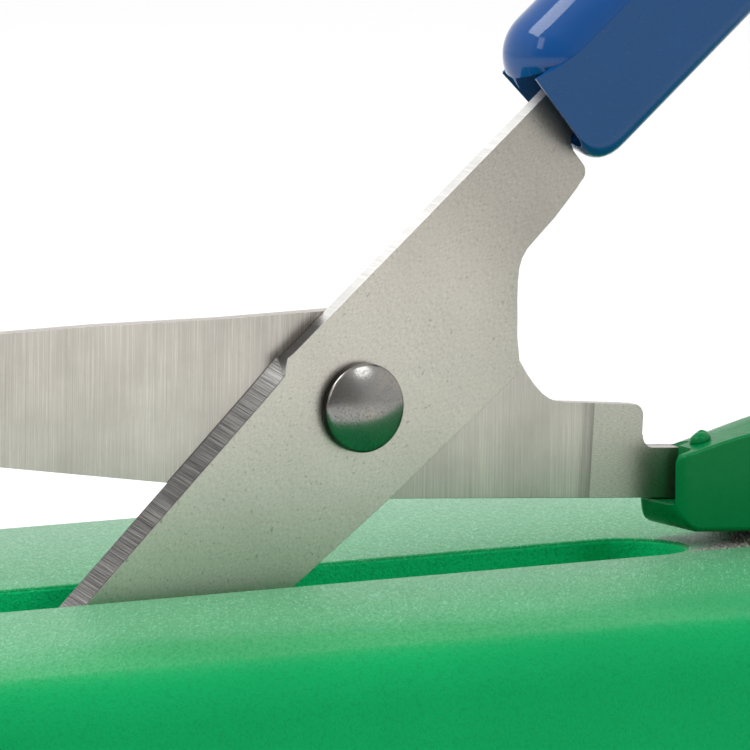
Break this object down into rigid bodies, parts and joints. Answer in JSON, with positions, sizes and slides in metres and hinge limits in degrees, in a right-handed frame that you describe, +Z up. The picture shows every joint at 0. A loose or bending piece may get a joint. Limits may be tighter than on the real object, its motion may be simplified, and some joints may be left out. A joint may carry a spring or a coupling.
{
  "type": "table-top scissors",
  "caption": "Push-down scissors on a hollow slotted base: a long lever with a palm bar closes the front blade against a fixed upper blade.",
  "frame": {"origin": "on the table under the middle of the base", "axes": "+X from the blade tips towards the handles, +Y away from the rivet head's side, +Z up"},
  "size_m": [0.23, 0.088, 0.1436],
  "materials": {
    "base_plastic": "satin spark-eroded texture",
    "cover_plastic": "matt",
    "green_plastic": "semi-gloss",
    "blue_body_plastic": "smooth satin",
    "blue_gloss_plastic": "high gloss",
    "blade_steel": "stamped sheet, ground edge and inner face",
    "rivet_steel": "polished, slightly tarnished",
    "screw_steel": "zinc plated",
    "spring_steel": "drawn wire",
    "bush_plastic": "satin",
    "rubber": "matt"
  },
  "bodies": {
    "base": {"base_shell": "base_plastic", "bottom_cover": "cover_plastic", "cover_screws": "screw_steel", "foot_tip_near": "rubber", "foot_tip_far": "rubber", "foot_handle_near": "rubber", "foot_handle_far": "rubber", "fixed_blade": "blade_steel", "pivot_rivet": "rivet_steel", "rivet_washer": "screw_steel", "spring_bush": "bush_plastic", "return_spring": "spring_steel", "fixed_handle": "green_plastic", "fixed_handle_screws": "screw_steel", "fixed_tang_pin": "screw_steel", "handle_bumper": "rubber", "tip_rest_pad": "rubber"},
    "lever": {"moving_blade": "blade_steel", "push_handle_body": "blue_body_plastic", "push_handle_top": "blue_gloss_plastic", "push_handle_screws": "screw_steel", "push_tang_pin": "screw_steel", "palm_bar": "blue_body_plastic", "palm_cap_near": "blue_gloss_plastic", "palm_cap_far": "blue_gloss_plastic", "palm_bar_screws": "screw_steel"}
  },
  "joints": [
    {"name": "lever_hinge", "type": "hinge", "parent": "base", "child": "lever", "pos_m": [-0.017, 0, 0.0549], "axis": [0, 1, 0], "range_deg": [0, 39.5], "stiffness_Nm_per_rad": 0.4, "springref_deg": -20.05, "deforming": ["return_spring"]}
  ]
}
